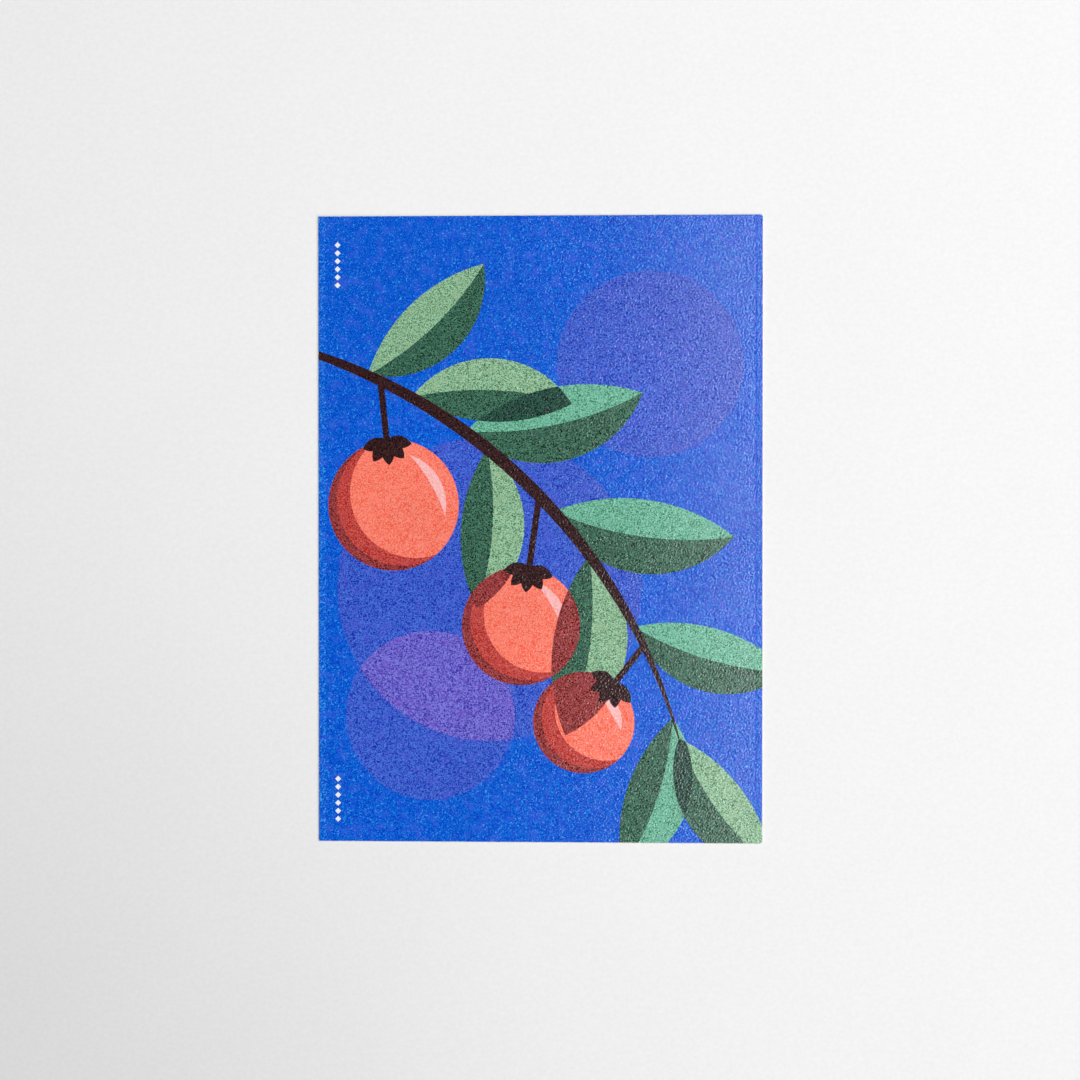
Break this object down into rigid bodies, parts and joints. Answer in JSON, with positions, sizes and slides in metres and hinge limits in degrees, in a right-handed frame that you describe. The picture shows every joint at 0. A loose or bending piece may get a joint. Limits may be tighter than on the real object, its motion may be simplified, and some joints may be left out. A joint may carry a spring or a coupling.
{
  "type": "postcard",
  "caption": "Flat rectangular postcard of uncoated board with a full-bleed colour print of a fruiting branch and postal rules on the back, to be mailed, written on or shown.",
  "frame": {"origin": "centre of the card's back face, which it lies on", "axes": "+Z out of the picture side, +Y along the long side to the picture's upper edge, +X along the short side to the picture's right edge"},
  "size_m": [0.105, 0.148, 0.0004],
  "materials": {
    "card_sheet": "uncoated board, matte",
    "blue_ink": "ink soaked into uncoated board, matte",
    "blue_violet_ink": "ink soaked into uncoated board, matte",
    "violet_ink": "ink soaked into uncoated board, matte",
    "light_green_ink": "ink soaked into uncoated board, matte",
    "teal_ink": "ink soaked into uncoated board, matte",
    "dark_green_ink": "ink soaked into uncoated board, matte",
    "deep_green_ink": "ink soaked into uncoated board, matte",
    "coral_ink": "ink soaked into uncoated board, matte",
    "red_ink": "ink soaked into uncoated board, matte",
    "pink_ink": "ink soaked into uncoated board, matte",
    "maroon_ink": "ink soaked into uncoated board, matte",
    "black_ink": "ink soaked into uncoated board, matte",
    "postal_rules": "thin printed rule, matte"
  },
  "bodies": {
    "root": {"card_sheet": "card_sheet", "blue_ink": "blue_ink", "blue_violet_ink": "blue_violet_ink", "violet_ink": "violet_ink", "light_green_ink": "light_green_ink", "teal_ink": "teal_ink", "dark_green_ink": "dark_green_ink", "deep_green_ink": "deep_green_ink", "coral_ink": "coral_ink", "red_ink": "red_ink", "pink_ink": "pink_ink", "maroon_ink": "maroon_ink", "black_ink": "black_ink", "divider_rule": "postal_rules", "address_rules": "postal_rules", "stamp_frame": "postal_rules"}
  },
  "joints": []
}
